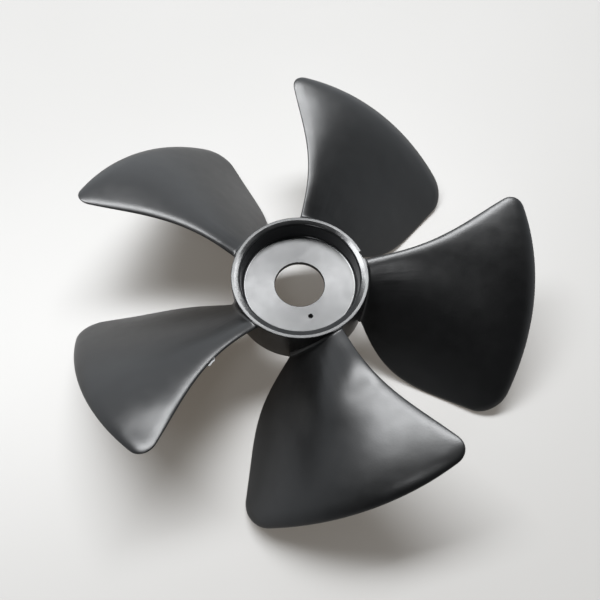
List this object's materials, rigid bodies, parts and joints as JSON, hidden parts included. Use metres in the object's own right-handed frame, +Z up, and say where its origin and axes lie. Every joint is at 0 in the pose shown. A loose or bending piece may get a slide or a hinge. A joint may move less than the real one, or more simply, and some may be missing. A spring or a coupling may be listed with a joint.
{
  "type": "axial fan impeller",
  "caption": "Moulded plastic axial fan impeller: swept, cambered blades round a cup-shaped hub with an open centre hole, for moving cooling air.",
  "frame": {"origin": "on the axis of rotation, at the level surface the impeller rests on", "axes": "+Z up along the axis of rotation, out of the open cup; +X through the pitch line of one blade"},
  "size_m": [0.1972, 0.2, 0.0498],
  "materials": {
    "black_plastic": "semi-gloss moulded"
  },
  "bodies": {
    "root": {"fan_impeller": "black_plastic"}
  },
  "joints": []
}
